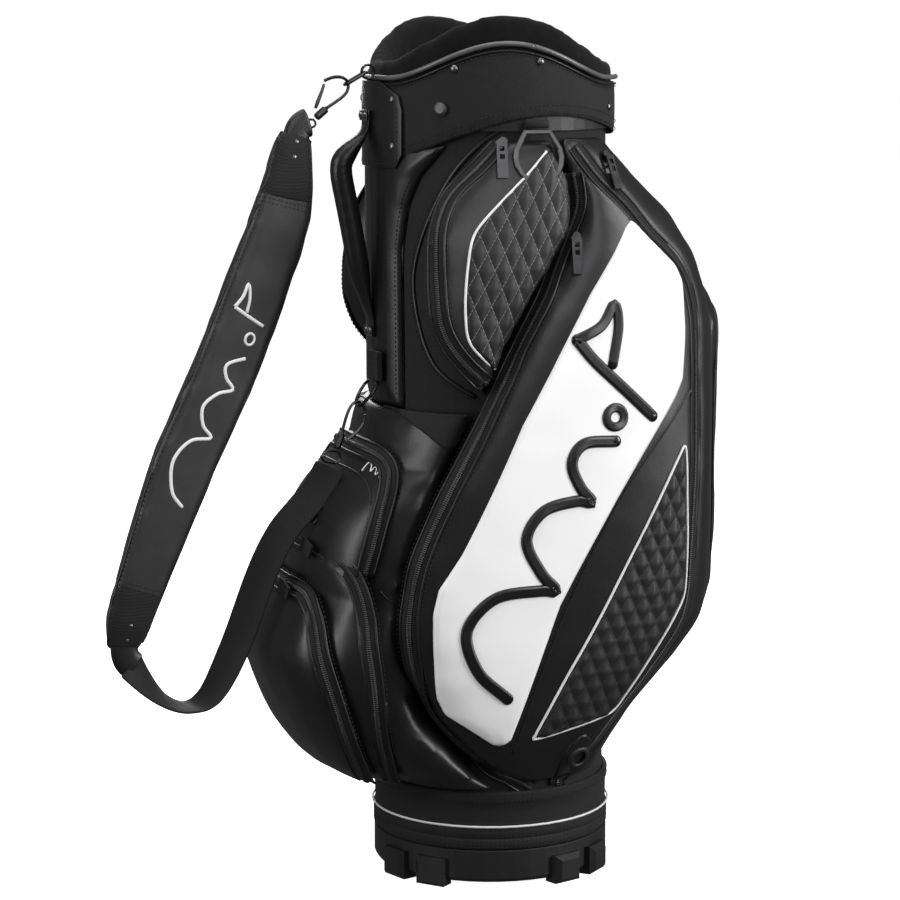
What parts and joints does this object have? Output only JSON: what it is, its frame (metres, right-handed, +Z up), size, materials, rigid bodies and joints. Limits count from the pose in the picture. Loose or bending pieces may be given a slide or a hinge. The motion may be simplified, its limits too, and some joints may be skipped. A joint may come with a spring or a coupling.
{
  "type": "golf_staff_bag",
  "caption": "Black leather and nylon golf staff bag with a white side panel, quilted insets, a carry handle and a padded shoulder strap",
  "frame": {"origin": "Centre of the base's underside, on the floor", "axes": "+Z up along the bag, -Y toward the spine with the handle, strap and ball pockets, +X toward the bag's right side"},
  "size_m": [0.332, 0.6729, 0.8988],
  "materials": {
    "black_leather": "satin",
    "white_leather": "satin",
    "black_nylon": "matte",
    "piping": "satin",
    "black_plastic": "matte",
    "gunmetal": "satin"
  },
  "bodies": {
    "bag": {"accessory_pocket": "black_leather", "apparel_pocket_left": "black_leather", "apparel_pocket_right": "black_leather", "ball_pocket": "black_leather", "base_cup": "black_plastic", "body_shell": "black_plastic", "boot_piping": "piping", "boot_sleeve": "black_nylon", "collar_band": "black_nylon", "collar_piping": "piping", "collar_ring": "black_plastic", "divider_head": "black_nylon", "divider_sleeves": "black_nylon", "front_body": "black_leather", "handle_rivets_bottom": "gunmetal", "handle_rivets_top": "gunmetal", "hood_stud_left": "gunmetal", "hood_stud_right": "gunmetal", "lift_handle": "black_leather", "lower_ring": "gunmetal", "lower_ring_tab": "black_nylon", "rear_pocket": "black_leather", "rim_padding": "black_nylon", "shoulder_tab": "black_leather", "spine_panel": "black_leather", "stay_cage": "black_plastic", "top_eye": "gunmetal", "top_link": "gunmetal", "towel_loop": "black_nylon", "umbrella_eyelet": "black_plastic", "upper_pocket_left": "black_nylon", "upper_pocket_right": "black_nylon", "valuables_pocket": "black_leather", "white_panel_left": "white_leather", "white_panel_right": "white_leather"},
    "strap": {"ladder_buckle": "gunmetal", "lower_hook": "gunmetal", "lower_swivel_loop": "gunmetal", "strap_pad": "black_leather", "strap_webbing": "black_nylon", "top_hook": "gunmetal", "top_swivel_loop": "gunmetal"},
    "top_gate": {"top_hook_gate": "gunmetal"},
    "lower_gate": {"lower_hook_gate": "gunmetal"},
    "towel_ring_body": {"towel_ring": "gunmetal"},
    "upper_zip_right_slide": {"upper_zip_right_slider": "gunmetal"},
    "upper_zip_right_tab": {"upper_zip_right_puller": "gunmetal"},
    "upper_zip_left_slide": {"upper_zip_left_slider": "gunmetal"},
    "upper_zip_left_tab": {"upper_zip_left_puller": "gunmetal"},
    "apparel_zip_right_slide": {"apparel_zip_right_slider": "gunmetal"},
    "apparel_zip_right_tab": {"apparel_zip_right_puller": "gunmetal"},
    "apparel_zip_left_slide": {"apparel_zip_left_slider": "gunmetal"},
    "apparel_zip_left_tab": {"apparel_zip_left_puller": "gunmetal"},
    "rear_zip_right_slide": {"rear_zip_right_slider": "gunmetal"},
    "rear_zip_right_tab": {"rear_zip_right_puller": "gunmetal"},
    "ball_zip_slide": {"ball_zip_slider": "gunmetal"},
    "ball_zip_tab": {"ball_zip_puller": "black_nylon"},
    "accessory_zip_slide": {"accessory_zip_slider": "gunmetal"},
    "accessory_zip_tab": {"accessory_zip_puller": "black_nylon"}
  },
  "joints": [
    {"name": "strap_swing", "type": "hinge", "parent": "bag", "child": "strap", "pos_m": [0.024, -0.1602, 0.665], "axis": [0.0073, -0.0359, 0.9993], "range_deg": [-30, 3]},
    {"name": "top_gate_hinge", "type": "hinge", "parent": "strap", "child": "top_gate", "pos_m": [0.0309, -0.19863, 0.806], "axis": [-0.9848, -0.1736, 0], "range_deg": [0, 20], "stiffness_Nm_per_rad": 0.02},
    {"name": "lower_gate_hinge", "type": "hinge", "parent": "strap", "child": "lower_gate", "pos_m": [0.02543, -0.16761, 0.464], "axis": [0.9848, 0.1736, 0], "range_deg": [0, 20], "stiffness_Nm_per_rad": 0.02},
    {"name": "towel_ring_swing", "type": "hinge", "parent": "bag", "child": "towel_ring_body", "pos_m": [0.1385, 0, 0.7835], "axis": [0, -1, 0], "range_deg": [0, 120]},
    {"name": "upper_zip_right_run", "type": "slide", "parent": "bag", "child": "upper_zip_right_slide", "axis": [-0.0082, -0.8047, -0.5937], "range_m": [0, 0.0594]},
    {"name": "upper_zip_right_puller_hinge", "type": "hinge", "parent": "upper_zip_right_slide", "child": "upper_zip_right_tab", "pos_m": [0.13693, -0.03752, 0.77352], "axis": [-0.1962, -0.9806, 0], "range_deg": [0, 105]},
    {"name": "upper_zip_left_run", "type": "slide", "parent": "bag", "child": "upper_zip_left_slide", "axis": [0.0082, -0.8047, -0.5937], "range_m": [0, 0.0594]},
    {"name": "upper_zip_left_puller_hinge", "type": "hinge", "parent": "upper_zip_left_slide", "child": "upper_zip_left_tab", "pos_m": [-0.13693, -0.03752, 0.77352], "axis": [-0.1962, 0.9806, 0], "range_deg": [0, 105]},
    {"name": "apparel_zip_right_run", "type": "slide", "parent": "bag", "child": "apparel_zip_right_slide", "axis": [0.1397, -0.5669, -0.8118], "range_m": [0, 0.0637]},
    {"name": "apparel_zip_right_puller_hinge", "type": "hinge", "parent": "apparel_zip_right_slide", "child": "apparel_zip_right_tab", "pos_m": [0.15663, 0.03493, 0.67792], "axis": [0.0307, -0.9995, 0], "range_deg": [0, 105]},
    {"name": "apparel_zip_left_run", "type": "slide", "parent": "bag", "child": "apparel_zip_left_slide", "axis": [-0.1397, -0.5669, -0.8118], "range_m": [0, 0.0637]},
    {"name": "apparel_zip_left_puller_hinge", "type": "hinge", "parent": "apparel_zip_left_slide", "child": "apparel_zip_left_tab", "pos_m": [-0.15663, 0.03493, 0.67792], "axis": [0.0307, 0.9995, 0], "range_deg": [0, 105]},
    {"name": "rear_zip_right_run", "type": "slide", "parent": "bag", "child": "rear_zip_right_slide", "axis": [0.0462, 0.5998, -0.7988], "range_m": [0, 0.038]},
    {"name": "rear_zip_right_puller_hinge", "type": "hinge", "parent": "rear_zip_right_slide", "child": "rear_zip_right_tab", "pos_m": [0.12682, 0.08167, 0.75828], "axis": [0.4586, -0.8886, 0], "range_deg": [0, 105]},
    {"name": "ball_zip_run", "type": "slide", "parent": "bag", "child": "ball_zip_slide", "axis": [-0.9968, -0.077, 0.0237], "range_m": [0, 0.0904]},
    {"name": "ball_zip_puller_hinge", "type": "hinge", "parent": "ball_zip_slide", "child": "ball_zip_tab", "pos_m": [0.03796, -0.21847, 0.36348], "axis": [-0.1922, -0.2504, -0.9489], "range_deg": [0, 40]},
    {"name": "accessory_zip_run", "type": "slide", "parent": "bag", "child": "accessory_zip_slide", "axis": [-0.9988, -0.0485, 0.009], "range_m": [0, 0.0782]},
    {"name": "accessory_zip_puller_hinge", "type": "hinge", "parent": "accessory_zip_slide", "child": "accessory_zip_tab", "pos_m": [0.02897, -0.2396, 0.32079], "axis": [-0.2173, -0.1356, -0.9667], "range_deg": [0, 28]}
  ]
}
